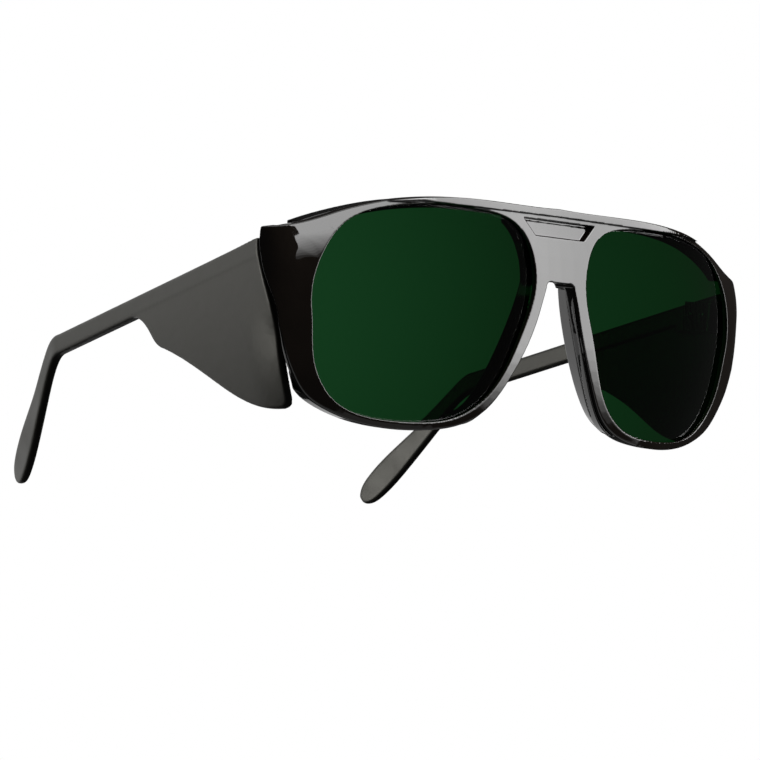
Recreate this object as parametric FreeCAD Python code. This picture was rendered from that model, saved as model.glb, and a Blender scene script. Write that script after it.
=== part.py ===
"""Welding spectacles: front with two green filters, brow bar, nose pads and folding temples.

The front is drawn in its own lens frame: +X towards the wearer's left, +Y back along the temples,
+Z up in the plane of the lenses. place() then tips the whole model forward until the lower rims and
the ear ends stand on the same plane, and puts the origin at the middle of the box's bottom.
"""
import FreeCAD
import Part
import math
import os

V = FreeCAD.Vector

# ---- Driving dimensions, millimetres and degrees ----
TILT = 11.6                 # forward tip of the lens plane when the spectacles stand on a table
SAG_RADIUS = 86.0           # curve of the front face, across and up
SAG_X, SAG_Z = 22.5, 1.0    # where each half of the front comes furthest forward
FACE_Y = -2.7               # front face there
BRIDGE_Y = -1.9             # front face at the middle of the bridge
RIM_DEPTH = 3.5
SPAN = 80.0                 # longer than any cutting prism has to reach

LENS_RADIUS = 88.0          # six-dioptre base curve
LENS_SET_BACK = 0.95        # lens front behind the rim's front face
LENS_THICK = 1.8
GROOVE_DEPTH = 0.9
GROOVE_GAP = 0.06

BAR_PROUD = 1.1             # brow bar in front of the rim face
BAR_EMBED = 1.0             # overlap of the bar and the rib with the rims
BAR_LOW = [(0, 27.3), (41, 26.9), (45.5, 26.3)]     # lower edge of the bar, one half
POCKET_DEPTH = 1.8
POCKET = [(-11.2, 26.2), (11.2, 26.2), (7.6, 22.4), (-7.6, 22.4)]
GUARD_DEPTH = 4.5
GUARD_HEIGHT = 2.2
SEAM = 0.05                 # air between a piece and the one that it is fitted to
PAD_FRONT, PAD_BACK = 0.9, 6.2      # flange: front edge behind the rim's face, and the level of its back edge
PAD_PROUD, PAD_SKIN = 0.5, 0.1      # cover over the rim's side: its thickness at the front and at the back
PAD_SPLAY = 1.1             # how far the back edge stands off
PAD_THICK, PAD_EMBED = 1.2, 0.8

AXIS_X, AXIS_Y = 70.0, 18.4         # hinge axis, parallel to Z in the lens frame
HINGE_LOW, HINGE_HIGH = 4.9, 11.9
KNUCKLE_R = 1.4
SCREW_R = 0.7
RUNNING_GAP = 0.05
SWING_LOW, SWING_TOP = -26.0, -2.0  # conical relief behind the lower rim, for the shield's swing
SWING_LOW_R, SWING_TOP_R = 9.1, 5.9
RIB_DEPTH, RIB_HALF = 3.2, 13.5     # stiffening rib behind the bridge
RIB_LOW, RIB_TOP = 11.0, 26.5
KNUCKLE_GAP = 0.1
LEAF_THICK = 0.8
FRONT_LEAF_END, TEMPLE_LEAF_END = 13.35, 28.6
LEAF_RELIEF, LEAF_CUT_BACK = 0.25, 0.9      # room round the other leaf's knuckles
LEAF_SIDE = 3.0                             # reach of the cuts beside a leaf
RIVET_R, RIVET_HEAD_R = 0.6, 0.95
RIVET_DEPTH, RIVET_HEAD = 1.4, 0.3
RIVET_GAP = 0.02
SCREW_HEAD, SCREW_HEAD_GAP, SCREW_TAIL = 0.75, 0.03, 0.3
SLOT_HALF, SLOT_DEPTH = 0.15, 0.35
FRONT_RIVETS = [(14.35, 10.7), (14.35, 7.9)]
TEMPLE_RIVETS = [(22.6, 8.4), (26.6, 8.4)]

ARM_OUT = 74.2              # outer face of the temple
ARM_THICK, ARM_HEIGHT = 2.8, 4.9
ARM_CORNER = 0.9            # radius along the arm's edges
LEAF_X = ARM_OUT - ARM_THICK        # plane where both hinge leaves meet the plastic
SHIELD_THICK = 2.0
ARM_FRONT = V(0, 17.6, 15.0)        # top corner of the temple's butt end
ARM_DROP = 17.3             # slope of the arm's top edge
BEND_Y = 107.0              # where the arm and the ear tip would meet without the bend's rounding
BEND_RADIUS = 11.0
TIP_END = V(63.9, 134.9, -49.8)     # middle of the ear tip's end, on a temple that points straight back
# Ear tip past the bend: share of its length, height, thickness.
TIP_SECTIONS = [(0.0, 4.6, 2.6), (0.35, 5.6, 2.4), (0.62, 7.5, 2.4), (0.86, 7.6, 2.3), (0.97, 4.9, 2.1),
                (1.0, 2.3, 1.9)]
WIRE_R = 0.6
WIRE_SHARE = 0.78           # how much of the ear tip's length the core wire reaches
WIRE_GAP = 0.02
OPEN_OUT_LEFT, OPEN_OUT_RIGHT = -0.5, -6.4  # how far each temple stands outwards when open

# Lens opening in one rim, seen from the front, anticlockwise from the temple side.
OPENING = [(65.0, 0), (64.0, 11.5), (57.2, 21.1), (46.4, 25.2), (36, 26.7), (24.9, 26.6), (12.6, 23.6),
           (8.0, 12), (11.3, 0), (14.8, -8.8), (19.8, -16.2), (27.4, -20.9), (36, -22.4), (45.5, -22.5),
           (55.9, -19.9), (62.9, -11.1)]
LENS_MIDDLE = V(36, 0, 0)

# Outer edge of one half of the front: along the top, and from under the endpiece round to the bridge.
TOP_EDGE = [(0, 29.1), (20, 28.9), (33, 28.5), (41, 27.6), (49, 26.0), (54, 24.5), (59, 22.6), (63, 20.8),
            (67, 19.2), (71, 18.0), (77, 16.8)]
LOW_EDGE = [(77, 1.0), (72.2, -2.6), (69.6, -9.0), (66.9, -14.2), (63.4, -18.6), (58.8, -21.3),
            (51.8, -23.5), (42.5, -24.5), (33, -24.0), (24.6, -22.2), (18.5, -18.6), (12.9, -10.8),
            (8.2, -1.1), (5.6, 6.7)]
ARCH_SIDE, ARCH_TOP = (4.3, 10.8), 12.2
BAR_END = 49

# Outer edge of a nose pad, seen from the front, from the arch down.
PAD_EDGE = [(4.7, 11.7), (5.9, 6.4), (8.5, -1.1), (13.0, -10.8), (16.2, -15.9), (19.4, -19.4),
            (24.6, -21.8)]

# Plan of the front's turned-back ends, as (x, y): outer corner, and the last point of the inner face.
CORNER = [(67, 8.5), (70.5, 10.2), (72.8, 12.1), (74.2, 14.6), (74.7, 18.5)]
CORNER_INSIDE = (66.8, 11.9)
STATIONS = [8, 16, SAG_X, 35, 48, 58]       # distances from the middle through which the plan is drawn
LEVELS = [-27, -18, -9, 0, 9, 18, 27, 32]   # heights through which a band is lofted

# Top edge of the brow guard, one half.
GUARD_TOP = [(0, 28.2), (20, 28.2), (33, 27.9), (41, 27.1), (49, 25.6), (54, 24.2), (59, 22.5),
             (63, 20.9), (66.4, 19.3)]

# Back edge of the endpiece, as (y, z) from the top down.
ENDPIECE_BACK = [(14.6, 18.6), (16.4, 17.2), (17.0, 15.0), (16.4, 11.5), (15.0, 7.6), (13.0, 3.6),
                 (11.5, -0.5), (11.2, -5.0), (11.2, -14.0)]

# Side shield, as (y, z): front edge from the top down, then along the lower edge to the arm.
SHIELD_FRONT = [(17.6, 14.0), (16.9, 11.2), (14.9, 6.5), (12.9, 0.5), (12.8, -6.7), (13.1, -13.5),
                (13.4, -18.6)]
SHIELD_TOE = [(13.4, -18.6), (14.1, -21.2), (16.6, -22.4)]
SHIELD_LOW = [(16.6, -22.4), (22.0, -22.6), (30.2, -20.9), (37.0, -18.3), (44.0, -15.6), (50.0, -13.7),
              (56.0, -12.3)]
SHIELD_NOTCH = [(56.0, -12.3), (59.9, -10.7), (62.6, -8.2), (65.6, -6.5), (70.8, -6.3)]
SHIELD_BOW = 165.0          # the shield leans in towards the cheek by its drop squared over this
ROLL, ROLL_LENGTH = 1.2, 9.0        # its front edge rolls in by this, over this length, below the endpiece
ROLL_LEVEL, ROLL_EASE = 10.0, 16.0  # where the roll begins, and the drop over which it grows
SHIELD_GRID = 4                     # spacing of the points that its face is drawn through
SHIELD_INNER = 50.0                 # no part of the shield lies closer to the middle than this


def spline(points, closed=False):
    curve = Part.BSplineCurve()
    curve.interpolate(Points=points, PeriodicFlag=closed)
    return curve.toShape()


def line(a, b):
    return Part.makeLine(a, b)


def front_points(pairs):
    """Points seen from the front, (x, z)."""
    return [V(x, 0, z) for x, z in pairs]


def side_points(pairs):
    """Points seen from the side, (y, z)."""
    return [V(0, y, z) for y, z in pairs]


def prism(edges, start, sweep):
    face = Part.Face(Part.Wire(Part.__sortEdges__(edges)))
    face.translate(start)
    return face.extrude(sweep)


def front_prism(edges, start=-SPAN / 2, depth=SPAN * 1.5):
    return prism(edges, V(0, start, 0), V(0, depth, 0))


def mirrored(shape):
    return shape.mirror(V(0, 0, 0), V(1, 0, 0))


def both_halves(shape):
    return shape.fuse(mirrored(shape)).removeSplitter()


def block(low, high):
    size = high - low
    return Part.makeBox(size.x, size.y, size.z, low)


def face_y(x):
    """Front face of the front at the level where it comes furthest forward."""
    if x < SAG_X:
        swell = 0.5 * (1 + math.cos(math.pi * x / SAG_X))
        return FACE_Y + (BRIDGE_Y - FACE_Y) * swell
    return FACE_Y + (x - SAG_X) ** 2 / (2 * SAG_RADIUS)


def sag(z):
    return (z - SAG_Z) ** 2 / (2 * SAG_RADIUS)


def swept(profile, levels, shift):
    """Solid through copies of a flat profile, each moved in Y by shift(z)."""
    wires = []
    for z in levels:
        wire = profile.copy()
        wire.translate(V(0, shift(z), z))
        wires.append(wire)
    return Part.makeLoft(wires, True)


def wrap_profile(near, far, corner):
    """Plan of a band that follows the front face, from near to far behind it, with its ends turned back."""
    outer = [V(x, face_y(x) + near, 0) for x in STATIONS]
    inner = [V(x, face_y(x) + far, 0) for x in STATIONS]
    if corner:
        outer += [V(x, y, 0) for x, y in CORNER]
        inner += [V(*CORNER_INSIDE, 0)]
        tail = [V(LEAF_X, 12.5, 0), V(LEAF_X, CORNER[-1][1], 0)]
    else:
        outer += [V(AXIS_X, face_y(AXIS_X) + near, 0)]
        inner += [V(AXIS_X, face_y(AXIS_X) + far, 0)]
        tail = []
    left = [V(-p.x, p.y, 0) for p in reversed(outer)]
    front = spline(left + [V(0, BRIDGE_Y + near, 0)] + outer)
    left = [V(-p.x, p.y, 0) for p in reversed(inner)]
    back = spline(left + [V(0, BRIDGE_Y + far, 0)] + inner)
    path = [inner[-1]] + tail + [outer[-1]]
    edges = [front, back]
    for a, b in zip(path, path[1:]):
        edges.append(line(a, b))
        edges.append(line(V(-a.x, a.y, 0), V(-b.x, b.y, 0)))
    return Part.Wire(Part.__sortEdges__(edges))


def half_outline():
    top = front_points(TOP_EDGE)
    low = front_points(LOW_EDGE)
    side = V(ARCH_SIDE[0], 0, ARCH_SIDE[1])
    crown = V(ARCH_SIDE[0] - 1.6, 0, ARCH_TOP)
    corner = Part.Arc(side, V(side.x - 0.35, 0, ARCH_TOP - 0.4), crown).toShape()
    return [spline(top), line(top[-1], low[0]), spline(low), line(low[-1], side), corner,
            line(crown, V(0, 0, ARCH_TOP)), line(V(0, 0, ARCH_TOP), top[0])]


def lens_wire(grow):
    """The lens opening, moved outwards by grow."""
    points = []
    for point in front_points(OPENING):
        ray = point - LENS_MIDDLE
        points.append(LENS_MIDDLE + ray * ((ray.Length + grow) / ray.Length))
    return [spline(points, closed=True)]


def lens_shell(gap):
    """Round shell that holds the lens, gap larger on both faces."""
    centre = V(SAG_X, FACE_Y + LENS_SET_BACK + LENS_RADIUS, SAG_Z)
    outer = Part.makeSphere(LENS_RADIUS + gap, centre)
    return outer.cut(Part.makeSphere(LENS_RADIUS - LENS_THICK - gap, centre))


def make_lens(gap):
    prism_solid = front_prism(lens_wire(GROOVE_DEPTH + gap), -10, 40)
    return prism_solid.common(lens_shell(gap))


def make_brow_bar():
    band = swept(wrap_profile(-BAR_PROUD, RIM_DEPTH - BAR_EMBED, False), LEVELS, sag)
    upper = front_points([p for p in TOP_EDGE if p[0] <= BAR_END])
    low = front_points(BAR_LOW)
    edges = [spline(upper), spline([upper[-1], low[2], low[1]]), line(low[1], low[0]), line(low[0], upper[0])]
    return band.common(both_halves(front_prism(edges)))


def make_rib():
    """Thicker back of the bridge, between the two openings."""
    band = swept(wrap_profile(RIM_DEPTH - BAR_EMBED, RIM_DEPTH + RIB_DEPTH, False), LEVELS, sag)
    width = block(V(-RIB_HALF, -SPAN, RIB_LOW), V(RIB_HALF, SPAN, RIB_TOP))
    return band.common(both_halves(front_prism(half_outline()))).common(width)


def make_pocket():
    """Tapered recess under the brow bar."""
    band = swept(wrap_profile(-10, POCKET_DEPTH, False), LEVELS, sag)
    corners = front_points(POCKET)
    edges = [line(a, b) for a, b in zip(corners, corners[1:] + corners[:1])]
    return band.common(front_prism(edges))


def rivet_holes(places, face_x):
    holes = []
    for y, z in places:
        holes.append(Part.makeCylinder(RIVET_R + RIVET_GAP, RIVET_DEPTH + SEAM, V(face_x, y, z), V(1, 0, 0)))
    return Part.makeCompound(holes)


def make_front():
    band = swept(wrap_profile(0, RIM_DEPTH, True), LEVELS, sag)
    front = band.common(both_halves(front_prism(half_outline())))
    back = side_points(ENDPIECE_BACK)
    corners = [back[-1], V(0, SPAN, back[-1].z), V(0, SPAN, SPAN), V(0, back[0].y, SPAN), back[0]]
    behind = [spline(back)] + [line(a, b) for a, b in zip(corners, corners[1:])]
    trim = prism(behind, V(CORNER_INSIDE[0], 0, 0), V(SPAN, 0, 0))
    swing = Part.makeCone(SWING_LOW_R, SWING_TOP_R, SWING_TOP - SWING_LOW, V(AXIS_X, AXIS_Y, SWING_LOW))
    front = front.cut([trim, mirrored(trim), swing, mirrored(swing)])
    front = front.fuse(make_rib())
    front = front.fuse(make_brow_bar())
    front = front.cut(make_pocket())
    for side in (lambda s: s, mirrored):
        front = front.cut(side(front_prism(lens_wire(0))))
        front = front.cut(side(make_lens(GROOVE_GAP)))
        front = front.cut(side(rivet_holes(FRONT_RIVETS, LEAF_X)))
    return front


def make_guard(front):
    """Ledge along the back of the brow."""
    band = swept(wrap_profile(RIM_DEPTH + SEAM, RIM_DEPTH + GUARD_DEPTH, False), LEVELS, sag)
    upper = front_points(GUARD_TOP)
    lower = [p - V(0, 0, GUARD_HEIGHT) for p in upper]
    edges = [spline(upper), line(upper[-1], lower[-1]), spline(lower), line(lower[0], upper[0])]
    return band.common(both_halves(front_prism(edges))).cut(front)


def make_pad(front):
    """Flange on the nose side of one rim: it covers the rim's side and splays out behind it."""
    edge = front_points(PAD_EDGE)
    rings = []
    for i, point in enumerate(edge):
        along = edge[min(i + 1, len(edge) - 1)] - edge[max(i - 1, 0)]
        out = V(along.z, 0, -along.x).normalize()
        face = face_y(point.x) + sag(point.z)
        rim_back = face + RIM_DEPTH + SEAM
        plan = [(PAD_PROUD, face + PAD_FRONT), (PAD_SKIN, rim_back), (-PAD_SPLAY, PAD_BACK),
                (-PAD_SPLAY - PAD_THICK, PAD_BACK), (-PAD_EMBED - PAD_THICK, rim_back),
                (-PAD_EMBED, rim_back - SEAM), (-PAD_EMBED, face + PAD_FRONT)]
        corners = [point + out * aside + V(0, y, 0) for aside, y in plan]
        rings.append(Part.makePolygon(corners + corners[:1]))
    return Part.makeLoft(rings, True).cut(front)


def tube(radius, low, high):
    return Part.makeCylinder(radius, high - low, V(AXIS_X, AXIS_Y, low))


def make_leaf(knuckles, reliefs, y_far, direction):
    """Flat hinge leaf that carries the given knuckles and is cut back beside the others."""
    y_low, y_high = sorted((AXIS_Y, y_far))
    leaf = block(V(LEAF_X - LEAF_THICK, y_low, HINGE_LOW), V(LEAF_X, y_high, HINGE_HIGH))
    for low, high in knuckles:
        leaf = leaf.fuse(tube(KNUCKLE_R, low, high))
    for low, high in reliefs:
        leaf = leaf.cut(tube(KNUCKLE_R + LEAF_RELIEF, low, high))
        y_a, y_b = sorted((AXIS_Y - direction * LEAF_SIDE, AXIS_Y + direction * LEAF_CUT_BACK))
        leaf = leaf.cut(block(V(LEAF_X - LEAF_SIDE, y_a, low), V(LEAF_X + LEAF_SIDE, y_b, high)))
    return leaf.cut(tube(SCREW_R + RUNNING_GAP, HINGE_LOW - 1, HINGE_HIGH + 1)).removeSplitter()


def rivet_group(places):
    """Solid rivets with coned heads on the leaf."""
    rivets = []
    top = LEAF_X - LEAF_THICK
    for y, z in places:
        shank = Part.makeCylinder(RIVET_R, LEAF_THICK + RIVET_DEPTH, V(top, y, z), V(1, 0, 0))
        head = Part.makeCone(RIVET_R, RIVET_HEAD_R, RIVET_HEAD, V(top - RIVET_HEAD, y, z), V(1, 0, 0))
        rivets.append(shank.fuse(head).removeSplitter())
    return rivets


def leaf_holes(places):
    holes = []
    for y, z in places:
        start = V(LEAF_X - 2 * LEAF_THICK, y, z)
        holes.append(Part.makeCylinder(RIVET_R + RIVET_GAP, 3 * LEAF_THICK, start, V(1, 0, 0)))
    return Part.makeCompound(holes)


def make_screw():
    """Hinge screw with a slotted cheese head on the upper knuckle."""
    head_top = HINGE_HIGH + SCREW_HEAD
    screw = tube(SCREW_R, HINGE_LOW - SCREW_TAIL, HINGE_HIGH + KNUCKLE_GAP)
    head = tube(KNUCKLE_R - KNUCKLE_GAP, HINGE_HIGH + SCREW_HEAD_GAP, head_top)
    screw = screw.fuse(head).removeSplitter()
    slot = block(V(AXIS_X - KNUCKLE_R, AXIS_Y - SLOT_HALF, head_top - SLOT_DEPTH),
                 V(AXIS_X + KNUCKLE_R, AXIS_Y + SLOT_HALF, head_top + SLOT_DEPTH))
    return screw.cut(slot)


def arm_top(y):
    return ARM_FRONT.z - math.tan(math.radians(ARM_DROP)) * (y - ARM_FRONT.y)


def arm_path():
    """Middle line of the arm: start, bend corner and end of the ear tip."""
    drop = math.radians(ARM_DROP)
    down = ARM_HEIGHT / 2 / math.cos(drop)
    x = ARM_OUT - ARM_THICK / 2
    start = V(x, ARM_FRONT.y, arm_top(ARM_FRONT.y) - down)
    bend = V(x, BEND_Y, arm_top(BEND_Y) - down)
    return start, bend, V(TIP_END)


def bend_arc():
    """Arc that rounds the bend: its two ends, middle and centre."""
    start, bend, tip = arm_path()
    back = (start - bend).normalize()
    on = (tip - bend).normalize()
    half = back.getAngle(on) / 2
    reach = BEND_RADIUS / math.tan(half)
    towards = (back + on).normalize()
    centre = bend + towards * (BEND_RADIUS / math.sin(half))
    return bend + back * reach, centre - towards * BEND_RADIUS, bend + on * reach, centre


def section(middle, along, height, thick):
    """Rounded rectangle across the arm, wide faces to the head and away from it."""
    radius = ARM_CORNER
    along = V(along).normalize()
    out = (V(1, 0, 0) - along * along.x).normalize()
    up = along.cross(out).normalize() * -1
    a, b = thick / 2 - radius, height / 2 - radius
    edges = []
    corners = [(a, b), (-a, b), (-a, -b), (a, -b)]
    for i, (s, t) in enumerate(corners):
        centre = middle + out * s + up * t
        first = math.radians(90 * i)
        pts = [centre + out * (radius * math.cos(first + k * math.pi / 4))
               + up * (radius * math.sin(first + k * math.pi / 4)) for k in range(3)]
        edges.append(Part.Arc(*pts).toShape())
        s2, t2 = corners[(i + 1) % 4]
        after = first + math.pi / 2
        following = middle + out * (s2 + radius * math.cos(after)) + up * (t2 + radius * math.sin(after))
        edges.append(line(pts[2], following))
    return Part.Wire(edges)


def make_arm():
    start, bend, tip = arm_path()
    first, middle, last, centre = bend_arc()
    ahead = (bend - start).normalize()
    on = (tip - bend).normalize()
    straight = [start, (start + first) * 0.5, first]
    bar = Part.makeLoft([section(point, ahead, ARM_HEIGHT, ARM_THICK) for point in straight], True)
    rings = [section(first, ahead, ARM_HEIGHT, ARM_THICK), section(middle, ahead + on, ARM_HEIGHT, ARM_THICK)]
    for share, height, thick in TIP_SECTIONS:
        rings.append(section(last + (tip - last) * share, on, height, thick))
    return bar.fuse(Part.makeLoft(rings, True))


def shield_outline():
    front, toe = side_points(SHIELD_FRONT), side_points(SHIELD_TOE)
    low, notch = side_points(SHIELD_LOW), side_points(SHIELD_NOTCH)
    top_front = V(0, ARM_FRONT.y, ARM_FRONT.z - 0.3)
    top_back = V(0, SHIELD_NOTCH[-1][0] + 4, arm_top(SHIELD_NOTCH[-1][0] + 4) - 1.2)
    top_start = V(0, ARM_FRONT.y + 1.2, arm_top(ARM_FRONT.y + 1.2) - 0.05)
    return [spline(front), spline(toe), spline(low), spline(notch), line(notch[-1], top_back),
            line(top_back, top_start), line(top_start, top_front), line(top_front, front[0])]


def shield_prism():
    return prism(shield_outline(), V(SHIELD_INNER, 0, 0), V(SPAN / 2, 0, 0))


def shield_x(y, z):
    """Outer face of the shield: it bows in below the arm, and its front edge rolls in."""
    drop = max(0.0, arm_top(y) - z)
    near = max(0.0, 1 - (y - SHIELD_FRONT[-1][0]) / ROLL_LENGTH)
    below = min(1.0, max(0.0, (ROLL_LEVEL - z) / ROLL_EASE))
    return ARM_OUT - drop ** 2 / SHIELD_BOW - ROLL * near ** 2 * below ** 2


def make_shield():
    rows = []
    for y in range(4, 90, SHIELD_GRID):
        rows.append([V(shield_x(y, z), y, z) for z in range(-34, 24, SHIELD_GRID)])
    surface = Part.BSplineSurface()
    surface.interpolate(rows)
    plate = surface.toShape().extrude(V(-SHIELD_THICK, 0, 0))
    return plate.common(shield_prism())


def make_temple():
    """One-piece temple: side shield, arm, flat ear tip and the boss for the hinge leaf."""
    outline = shield_prism()
    root = block(V(LEAF_X, ARM_FRONT.y - 0.6, HINGE_LOW - 0.6), V(ARM_OUT - 1.2, 31.5, HINGE_HIGH + 0.4))
    temple = make_arm().fuse([make_shield(), root.common(outline)]).removeSplitter()
    ahead = block(V(SHIELD_INNER, 0, -SPAN / 2), V(ARM_OUT + 5, ARM_FRONT.y + 0.5, SPAN / 2)).cut(outline)
    beside = block(V(LEAF_X - 1, ARM_FRONT.y - 3, HINGE_LOW - 0.8),
                   V(LEAF_X + 0.3, AXIS_Y + 1.2, HINGE_HIGH + 0.8))
    return temple.cut([ahead, beside]).cut(rivet_holes(TEMPLE_RIVETS, LEAF_X)).cut(make_wire(WIRE_GAP))


def make_wire(gap=0.0):
    """Core wire along the middle of the arm, round the bend and into the ear tip."""
    start, bend, tip = arm_path()
    first, middle, last, centre = bend_arc()
    end = last + (tip - last) * (WIRE_SHARE + gap)
    bend = Part.Arc(first, middle, last).toShape()
    path = Part.Wire([line(start - V(0, gap, 0), first), bend, line(last, end)])
    ring = Part.Wire(Part.makeCircle(WIRE_R + gap, start, first - start))
    return path.makePipeShell([ring], True, True)


def side_pieces(front):
    """Pieces of the wearer's left side, as name: (shape, moves with the temple)."""
    third = (HINGE_HIGH - HINGE_LOW) / 3
    low = HINGE_LOW + third - 2 * KNUCKLE_GAP
    high = HINGE_HIGH - third + 2 * KNUCKLE_GAP
    outer = [(HINGE_LOW, low), (high, HINGE_HIGH)]
    middle = [(low + KNUCKLE_GAP, high - KNUCKLE_GAP)]
    beyond = [(HINGE_LOW - 1, low + KNUCKLE_GAP), (high - KNUCKLE_GAP, HINGE_HIGH + 1)]
    front_leaf = make_leaf(outer, [(low, high)], FRONT_LEAF_END, -1).cut(leaf_holes(FRONT_RIVETS))
    temple_leaf = make_leaf(middle, beyond, TEMPLE_LEAF_END, 1).cut(leaf_holes(TEMPLE_RIVETS))
    return {
        "lens": (make_lens(0.0), False),
        "nose_pad": (make_pad(front), False),
        "front_hinge_leaf": (front_leaf, False),
        "front_leaf_rivets": (Part.makeCompound(rivet_group(FRONT_RIVETS)), False),
        "hinge_screw": (make_screw(), False),
        "temple": (make_temple(), True),
        "temple_hinge_leaf": (temple_leaf, True),
        "temple_leaf_rivets": (Part.makeCompound(rivet_group(TEMPLE_RIVETS)), True),
        "temple_core_wire": (make_wire(), True),
    }


def turned(shape, outwards):
    """The temple's pieces, opened outwards about the hinge axis."""
    shape = shape.copy()
    shape.rotate(V(AXIS_X, AXIS_Y, 0), V(0, 0, 1), -outwards)
    return shape


def build():
    front = make_front()
    nodes = {"front_frame": front, "brow_guard": make_guard(front)}
    for name, (shape, moves) in side_pieces(front).items():
        left = turned(shape, OPEN_OUT_LEFT) if moves else shape
        right = turned(shape, OPEN_OUT_RIGHT) if moves else shape
        nodes[name + "_left"] = left
        nodes[name + "_right"] = mirrored(right)
    return nodes


def place(nodes):
    """Tips the model forward and puts the origin at the middle of its box's bottom."""
    for name, shape in nodes.items():
        shape.rotate(V(0, 0, 0), V(1, 0, 0), TILT)
    box = Part.makeCompound(list(nodes.values())).optimalBoundingBox(False)
    move = V(-(box.XMin + box.XMax) / 2, -(box.YMin + box.YMax) / 2, -box.ZMin)
    for shape in nodes.values():
        shape.translate(move)
    axis = FreeCAD.Rotation(V(1, 0, 0), TILT)
    for sign in (1, -1):
        point = axis.multVec(V(sign * AXIS_X, AXIS_Y, (HINGE_LOW + HINGE_HIGH) / 2)) + move
        print("hinge axis through", [round(c, 3) for c in point])
    print("hinge axis direction", [round(c, 5) for c in axis.multVec(V(0, 0, 1))])
    print("size", round(box.XLength, 2), round(box.YLength, 2), round(box.ZLength, 2), "moved by",
          [round(c, 3) for c in move])


def main():
    os.makedirs("parts", exist_ok=True)
    nodes = build()
    place(nodes)
    for name, shape in nodes.items():
        print(name, "solids", len(shape.Solids), "valid", shape.isValid(), "volume", round(shape.Volume, 1))
        shape.exportStep("parts/" + name + ".step")


main()
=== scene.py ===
"""Welding spectacles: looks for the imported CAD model, in metres, in the row frame."""
import math
import bpy
import numpy as np
from mathutils import Matrix, Vector


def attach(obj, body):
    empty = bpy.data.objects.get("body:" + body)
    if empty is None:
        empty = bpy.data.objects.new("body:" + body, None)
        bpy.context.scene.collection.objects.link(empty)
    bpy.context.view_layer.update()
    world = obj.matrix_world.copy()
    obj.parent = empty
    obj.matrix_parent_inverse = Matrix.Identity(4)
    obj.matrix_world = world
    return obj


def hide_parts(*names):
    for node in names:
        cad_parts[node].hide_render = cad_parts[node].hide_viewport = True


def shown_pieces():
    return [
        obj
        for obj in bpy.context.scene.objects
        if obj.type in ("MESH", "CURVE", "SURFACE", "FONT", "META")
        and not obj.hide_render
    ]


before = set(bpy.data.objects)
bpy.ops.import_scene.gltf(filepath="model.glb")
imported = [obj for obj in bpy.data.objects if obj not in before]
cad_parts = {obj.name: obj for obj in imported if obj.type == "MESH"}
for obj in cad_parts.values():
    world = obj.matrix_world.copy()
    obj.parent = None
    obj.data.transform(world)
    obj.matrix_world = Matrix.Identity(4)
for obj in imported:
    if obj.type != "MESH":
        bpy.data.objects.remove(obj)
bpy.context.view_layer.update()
scene = bpy.context.scene

# ---- Driving values ----
VOXEL_FRONT = 0.00012       # mesh step of the moulded pieces, before their edges are rounded
VOXEL_TEMPLE = 0.00018
ROUND_FRONT = 36            # smoothing passes: more passes make rounder edges
ROUND_TEMPLE = 30
SMOOTHING = 0.5             # share of the way that each pass moves a vertex
BEVEL_ANGLE = math.radians(40)      # metal edges sharper than this are broken
BEVEL_LEAF, BEVEL_PIN = 0.00008, 0.00005

SAG_RADIUS, SAG_X, FACE_Y = 0.086, 0.0225, -0.0027      # curve of the front face, in the lens frame
# Filter glass: the distances from the middle where it is darkest and palest, and the green of its body.
LENS_NOSE_SIDE, LENS_TEMPLE_SIDE = 0.008, 0.062
FILTER_GREEN, FILTER_DENSITY = (0.15, 0.476, 0.263, 1), 3320.0
METAL_GRAIN = 0.00001       # depth of the brushing on metal

TOP_BIN = 0.0005            # step along the brow in which the top edge is looked up
CREST_REACH = 6             # steps to either side over which its height is averaged
CREST_KERNEL = np.full(2 * CREST_REACH + 1, 1 / (2 * CREST_REACH + 1))
# The brow's face leans back at its top: the height of the leaning part and its slope, over a lens and
# at an endpiece, with a smooth change between these distances from the middle.
ROLL_MIDDLE, ROLL_END = 0.005, 0.0085
ROLL_SLOPE_MIDDLE, ROLL_SLOPE_END = 0.35, 0.30
ROLL_CHANGE = (0.048, 0.064)
ROLL_START = (0.040, 0.054)         # distances between which the lean grows from nothing
ROLL_FADE = (0.0012, 0.0036)        # depths behind the face between which it ends

TILT = math.radians(11.6)   # how far the lens plane leans forward on the table
ORIGIN = Vector((0.0, -0.068806, 0.023433))     # lens frame's origin in the row frame
CAM_AZ, CAM_EL, CAM_ROLL = (math.radians(v) for v in (-40.36, 1.04, 6.0))     # in the lens frame
CAM_DISTANCE = 0.8037
CAM_ASIDE, CAM_UP = -0.0395, -0.0102            # from the line through the lens frame's origin
CAM_LENS, CAM_SENSOR = 165.69, 36               # millimetres

FRONT_MIDDLE = Vector((0.0, -0.04, 0.025))      # where the softboxes point
SOFTBOX_DISTANCE = 1.6
FADE_STEPS = 10             # strips in which a softbox's lower edge fades out
FRONT_RADIANCE = 7.1        # of the two softboxes ahead of the lenses
DIM_WORLD = 0.03            # the backdrop's strength in reflections and as a light
FLOOR_Z = -0.14             # the camera looks up from below the table plane, so the floor lies lower still
FLOOR_SIZE = 8.0
FLOOR_GLOW = 0.55           # keeps the floor pale away from the softboxes


def lens_to_row(v):
    """Point or direction in the lens frame, turned into the row frame's axes."""
    return Matrix.Rotation(TILT, 3, "X") @ Vector(v)


def direction(azimuth, elevation):
    """Unit vector away from the object: azimuth 0 is ahead of the lenses."""
    flat = math.cos(elevation)
    return Vector((math.sin(azimuth) * flat, -math.cos(azimuth) * flat, math.sin(elevation)))


# ---- Node material helpers ----
def new_material(name):
    mat = bpy.data.materials.new(name)
    mat.use_nodes = True
    nodes, links = mat.node_tree.nodes, mat.node_tree.links
    shader = nodes["Principled BSDF"]
    return mat, nodes, links, shader


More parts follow.
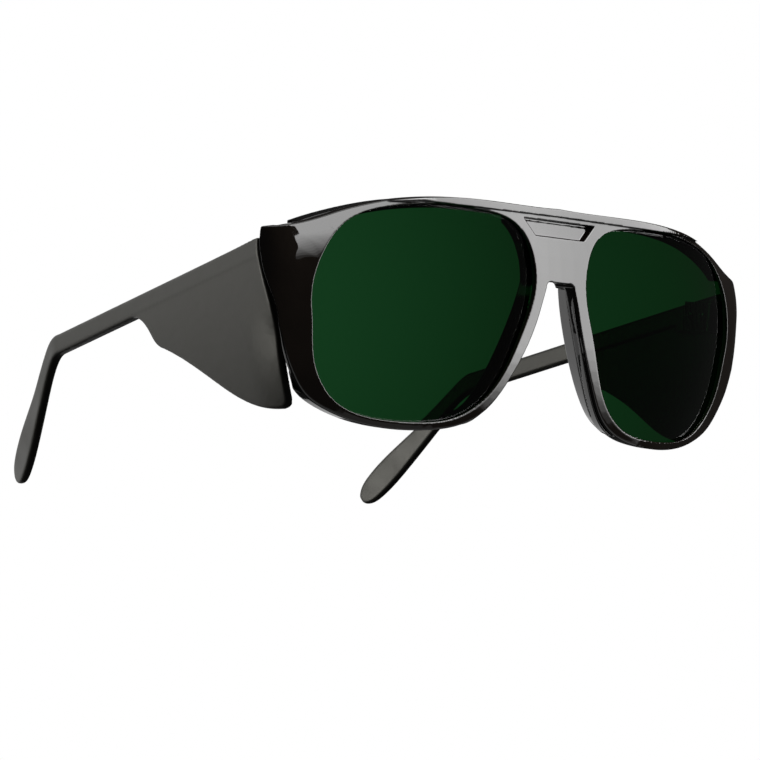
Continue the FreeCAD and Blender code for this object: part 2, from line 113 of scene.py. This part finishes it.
def noise(nodes, links, scale, detail, stretch=(1, 1, 1)):
    """Object-space noise, so that it rides with its piece."""
    where = nodes.new("ShaderNodeTexCoord")
    mapping = nodes.new("ShaderNodeMapping")
    mapping.inputs["Scale"].default_value = stretch
    texture = nodes.new("ShaderNodeTexNoise")
    texture.inputs["Scale"].default_value = scale
    texture.inputs["Detail"].default_value = detail
    links.new(where.outputs["Object"], mapping.inputs["Vector"])
    links.new(mapping.outputs["Vector"], texture.inputs["Vector"])
    return texture.outputs["Fac"]


def ramp(nodes, links, value, low, high):
    """Colour from low to high, over the middle of a noise's range."""
    node = nodes.new("ShaderNodeValToRGB")
    first, last = node.color_ramp.elements
    first.position, last.position = 0.35, 0.65
    first.color, last.color = (*low, 1), (*high, 1)
    links.new(value, node.inputs["Fac"])
    return node.outputs["Color"]


def spread(nodes, links, value, low, high):
    """Number from low to high, over the middle of a noise's range."""
    node = nodes.new("ShaderNodeMapRange")
    node.inputs["From Min"].default_value = 0.3
    node.inputs["From Max"].default_value = 0.7
    node.inputs["To Min"].default_value = low
    node.inputs["To Max"].default_value = high
    links.new(value, node.inputs["Value"])
    return node.outputs["Result"]


def bump(nodes, links, shader, value, height):
    node = nodes.new("ShaderNodeBump")
    node.inputs["Strength"].default_value = 1.0
    node.inputs["Distance"].default_value = height
    links.new(value, node.inputs["Height"])
    links.new(node.outputs["Normal"], shader.inputs["Normal"])


def plastic(name, low, high, rough, ior, grain_scale, grain_height, sheen=(1, 1, 1)):
    mat, nodes, links, shader = new_material(name)
    broad = noise(nodes, links, 60, 3)
    links.new(ramp(nodes, links, broad, low, high), shader.inputs["Base Color"])
    links.new(spread(nodes, links, noise(nodes, links, 220, 4), *rough), shader.inputs["Roughness"])
    bump(nodes, links, shader, noise(nodes, links, grain_scale, 2), grain_height)
    shader.inputs["IOR"].default_value = ior
    shader.inputs["Specular Tint"].default_value = (*sheen, 1)
    return mat


def metal(name, low, high, rough, stretch):
    mat, nodes, links, shader = new_material(name)
    shader.inputs["Metallic"].default_value = 1.0
    brushed = noise(nodes, links, 900, 4, stretch)
    links.new(ramp(nodes, links, brushed, low, high), shader.inputs["Base Color"])
    links.new(spread(nodes, links, brushed, *rough), shader.inputs["Roughness"])
    bump(nodes, links, shader, brushed, METAL_GRAIN)
    return mat


def filter_glass(name):
    """Clear shell whose green deepens with the light's path, and which is a little darker near the nose."""
    mat, nodes, links, shader = new_material(name)
    shader.inputs["Transmission Weight"].default_value = 1.0
    shader.inputs["IOR"].default_value = 1.5
    shader.inputs["Specular IOR Level"].default_value = 0.02
    streaks = noise(nodes, links, 90, 2)
    where = nodes.new("ShaderNodeTexCoord")
    split = nodes.new("ShaderNodeSeparateXYZ")
    links.new(where.outputs["Object"], split.inputs["Vector"])
    aside = nodes.new("ShaderNodeMath")
    aside.operation = "ABSOLUTE"
    links.new(split.outputs["X"], aside.inputs[0])
    across = nodes.new("ShaderNodeMapRange")
    across.inputs["From Min"].default_value = LENS_NOSE_SIDE
    across.inputs["From Max"].default_value = LENS_TEMPLE_SIDE
    links.new(aside.outputs[0], across.inputs["Value"])
    ripple = nodes.new("ShaderNodeMath")
    ripple.operation = "MULTIPLY_ADD"
    ripple.inputs[1].default_value = 0.06
    links.new(streaks, ripple.inputs[0])
    links.new(across.outputs["Result"], ripple.inputs[2])
    tint = nodes.new("ShaderNodeValToRGB")
    tint.color_ramp.elements[0].color = (0.79, 0.77, 0.79, 1)
    tint.color_ramp.elements[1].color = (0.98, 0.98, 0.98, 1)
    links.new(ripple.outputs[0], tint.inputs["Fac"])
    links.new(tint.outputs["Color"], shader.inputs["Base Color"])
    links.new(spread(nodes, links, streaks, 0.0, 0.012), shader.inputs["Roughness"])
    volume = nodes.new("ShaderNodeVolumeAbsorption")
    volume.inputs["Color"].default_value = FILTER_GREEN
    volume.inputs["Density"].default_value = FILTER_DENSITY
    links.new(volume.outputs["Volume"], nodes["Material Output"].inputs["Volume"])
    return mat


GLOSS = plastic("gloss_black", (0.0028, 0.0020, 0.0015), (0.0044, 0.0032, 0.0024), (0.035, 0.06), 1.52,
                120, 0.0000015)
SATIN = plastic("satin_grey", (0.015, 0.0148, 0.0125), (0.019, 0.0188, 0.016), (0.36, 0.44), 1.5,
                2600, 0.000006, (1.0, 0.98, 0.88))
GREEN = filter_glass("filter_green")
NICKEL = metal("hinge_nickel", (0.36, 0.35, 0.32), (0.52, 0.50, 0.46), (0.22, 0.36), (1, 1, 0.08))
STEEL = metal("screw_steel", (0.40, 0.40, 0.40), (0.60, 0.60, 0.60), (0.18, 0.32), (1, 1, 0.2))
WIRE = metal("core_wire", (0.38, 0.37, 0.34), (0.50, 0.49, 0.46), (0.25, 0.35), (1, 0.06, 1))


# ---- Pieces ----
def rounded(node, name, step, passes, body, material):
    """Moulded piece with rounded edges, made over the CAD node's own shape."""
    piece = bpy.data.objects.new(name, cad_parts[node].data.copy())
    scene.collection.objects.link(piece)
    skin = piece.modifiers.new("skin", "REMESH")
    skin.mode = "VOXEL"
    skin.voxel_size = step
    skin.use_smooth_shade = True
    soften = piece.modifiers.new("soften", "SMOOTH")
    soften.factor = SMOOTHING
    soften.iterations = passes
    graph = bpy.context.evaluated_depsgraph_get()
    mesh = bpy.data.meshes.new_from_object(piece.evaluated_get(graph))
    piece.modifiers.clear()
    piece.data = mesh
    mesh.materials.clear()
    mesh.materials.append(material)
    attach(piece, body)
    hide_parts(node)
    return piece


def smoothstep(value, low, high):
    t = np.clip((value - low) / (high - low), 0, 1)
    return t * t * (3 - 2 * t)


def roll_top_edge(piece):
    """Leans the top of the front face back, so that it rolls over towards the brow."""
    mesh = piece.data
    row = np.empty(len(mesh.vertices) * 3)
    mesh.vertices.foreach_get("co", row)
    turn = np.array(Matrix.Rotation(TILT, 3, "X"))
    local = (row.reshape(-1, 3) - np.array(ORIGIN)) @ turn
    x, y, z = np.abs(local[:, 0]), local[:, 1], local[:, 2]
    bins = np.round(x / TOP_BIN).astype(int)
    crest = np.full(bins.max() + 1, -1.0)
    np.maximum.at(crest, bins, z)
    crest = np.convolve(np.pad(crest, CREST_REACH, mode="edge"), CREST_KERNEL, mode="valid")
    top = np.interp(x, np.arange(len(crest)) * TOP_BIN, crest)
    change = smoothstep(x, *ROLL_CHANGE)
    reach = ROLL_MIDDLE + (ROLL_END - ROLL_MIDDLE) * change
    slope = ROLL_SLOPE_MIDDLE + (ROLL_SLOPE_END - ROLL_SLOPE_MIDDLE) * change
    inside = np.clip(reach - (top - z), 0, None)
    lean = slope * inside ** 2 / (2 * reach) * smoothstep(x, *ROLL_START)
    face = FACE_Y + (x - SAG_X) ** 2 / (2 * SAG_RADIUS) + z ** 2 / (2 * SAG_RADIUS)
    near_face = 1 - smoothstep(y - face, *ROLL_FADE)
    local[:, 1] += lean * near_face
    row = local @ turn.T + np.array(ORIGIN)
    mesh.vertices.foreach_set("co", row.ravel())
    mesh.update()


def finish_node(node, material, bevel=0.0):
    """CAD node shown as it is, with a fine broken edge where a bevel width is given."""
    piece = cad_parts[node]
    piece.data.materials.clear()
    piece.data.materials.append(material)
    if bevel:
        edge = piece.modifiers.new("edge", "BEVEL")
        edge.width = bevel
        edge.segments = 2
        edge.limit_method = "ANGLE"
        edge.angle_limit = BEVEL_ANGLE


front = rounded("front_frame", "front_moulding", VOXEL_FRONT, ROUND_FRONT, "front", GLOSS)
roll_top_edge(front)
rounded("brow_guard", "brow_ledge", VOXEL_FRONT, ROUND_FRONT, "front", GLOSS)
for side in ("left", "right"):
    body = "temple_" + side
    rounded("nose_pad_" + side, "nose_flange_" + side, VOXEL_FRONT, ROUND_FRONT, "front", GLOSS)
    rounded("temple_" + side, "temple_moulding_" + side, VOXEL_TEMPLE, ROUND_TEMPLE, body, SATIN)
    finish_node("lens_" + side, GREEN)
    for part in ("front_hinge_leaf_", "temple_hinge_leaf_"):
        finish_node(part + side, NICKEL, BEVEL_LEAF)
    for part in ("hinge_screw_", "front_leaf_rivets_", "temple_leaf_rivets_"):
        finish_node(part + side, STEEL, BEVEL_PIN)
    finish_node("temple_core_wire_" + side, WIRE)


# ---- Studio ----
def softbox(name, azimuth, elevation, spread_across, spread_up, radiance, lights=None):
    """Rectangular light that faces the object. Angles are degrees, seen from the object: azimuth 0 is
    ahead of the lenses and 90 is towards the wearer's left. lights limits it to one collection."""
    data = bpy.data.lights.new(name, "AREA")
    data.shape = "RECTANGLE"
    data.size = 2 * SOFTBOX_DISTANCE * math.tan(math.radians(spread_across / 2))
    data.size_y = 2 * SOFTBOX_DISTANCE * math.tan(math.radians(spread_up / 2))
    data.energy = radiance * math.pi * data.size * data.size_y
    lamp = bpy.data.objects.new(name, data)
    scene.collection.objects.link(lamp)
    away = direction(math.radians(azimuth), math.radians(elevation))
    lamp.location = FRONT_MIDDLE + away * SOFTBOX_DISTANCE
    lamp.rotation_mode = "QUATERNION"
    lamp.rotation_quaternion = away.to_track_quat("Z", "Y")
    lamp.visible_camera = False
    lamp.visible_transmission = False
    if lights is not None:
        lamp.light_linking.receiver_collection = lights


def faded_softbox(name, azimuth, spread_across, low, high, radiance, fade, lights):
    """Softbox from elevation low to high, with strips below it that fade out over the angle fade."""
    softbox(name, azimuth, (low + high) / 2, spread_across, high - low, radiance, lights)
    strip = fade / FADE_STEPS
    for step in range(FADE_STEPS):
        share = 1 - (step + 0.5) / FADE_STEPS
        softbox("%s_fade_%d" % (name, step), azimuth, low - strip * (step + 0.5), spread_across, strip,
                radiance * share, lights)


glossy = bpy.data.collections.new("glossy_pieces")
satin = bpy.data.collections.new("satin_pieces")
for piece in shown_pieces():
    if piece.name.startswith(("front_moulding", "nose_flange", "front_hinge", "hinge_screw")):
        glossy.objects.link(piece)
    if piece.name.startswith(("temple_moulding", "nose_flange")):
        satin.objects.link(piece)
faded_softbox("key_softbox", 41, 46, -12, 61, FRONT_RADIANCE, 16, glossy)
faded_softbox("front_top_softbox", 3, 34, 28, 62, FRONT_RADIANCE, 24, glossy)
softbox("under_softbox", 10, -70, 100, 36, 0.7, glossy)
softbox("under_fade_softbox", 10, -46, 100, 12, 0.25, glossy)
softbox("overhead_softbox", 0, 88, 50, 50, 1.6)
softbox("back_softbox", 180, 5, 70, 60, 0.8)
softbox("left_softbox", -120, 5, 26, 50, 5.2, satin)
softbox("right_softbox", 100, 15, 40, 50, 1.6, satin)

# White behind the object and through its filters, dim in what its surfaces mirror.
world = bpy.data.worlds.new("studio")
scene.world = world
world.use_nodes = True
nodes, links = world.node_tree.nodes, world.node_tree.links
nodes.clear()
backdrop = nodes.new("ShaderNodeBackground")
backdrop.inputs["Color"].default_value = (1, 1, 1, 1)
backdrop.inputs["Strength"].default_value = 1.0
dim = nodes.new("ShaderNodeBackground")
dim.inputs["Color"].default_value = (1, 1, 1, 1)
dim.inputs["Strength"].default_value = DIM_WORLD
rays = nodes.new("ShaderNodeLightPath")
either = nodes.new("ShaderNodeMath")
either.operation = "MAXIMUM"
links.new(rays.outputs["Is Camera Ray"], either.inputs[0])
links.new(rays.outputs["Is Transmission Ray"], either.inputs[1])
mix = nodes.new("ShaderNodeMixShader")
links.new(either.outputs[0], mix.inputs["Fac"])
links.new(dim.outputs[0], mix.inputs[1])
links.new(backdrop.outputs[0], mix.inputs[2])
output = nodes.new("ShaderNodeOutputWorld")
links.new(mix.outputs[0], output.inputs["Surface"])
scene.view_settings.view_transform = "Standard"

bpy.ops.mesh.primitive_plane_add(size=FLOOR_SIZE, location=(0, 0, FLOOR_Z))
floor = bpy.context.object
floor.name = "floor"
pale, nodes, links, shader = new_material("pale_floor")
links.new(ramp(nodes, links, noise(nodes, links, 4, 2), (0.86, 0.86, 0.86), (0.90, 0.90, 0.90)),
          shader.inputs["Base Color"])
shader.inputs["Roughness"].default_value = 0.8
shader.inputs["Emission Color"].default_value = (1, 1, 1, 1)
shader.inputs["Emission Strength"].default_value = FLOOR_GLOW
floor.data.materials.append(pale)
floor.visible_diffuse = False
floor.visible_glossy = False

# ---- Camera ----
toward = direction(CAM_AZ, CAM_EL)
level = Vector((math.cos(CAM_AZ), math.sin(CAM_AZ), 0))
upright = toward.cross(level)
across = level * math.cos(CAM_ROLL) + upright * math.sin(CAM_ROLL)
up = upright * math.cos(CAM_ROLL) - level * math.sin(CAM_ROLL)
spot = toward * CAM_DISTANCE + across * CAM_ASIDE + up * CAM_UP
turn = Matrix([lens_to_row(v) for v in (across, up, toward)]).transposed()
camera = bpy.data.objects.new("camera", bpy.data.cameras.new("camera"))
scene.collection.objects.link(camera)
camera.matrix_world = Matrix.Translation(lens_to_row(spot) + ORIGIN) @ turn.to_4x4()
camera.data.lens = CAM_LENS
camera.data.sensor_width = CAM_SENSOR
camera.data.clip_start = 0.05
camera.data.clip_end = 20
scene.camera = camera
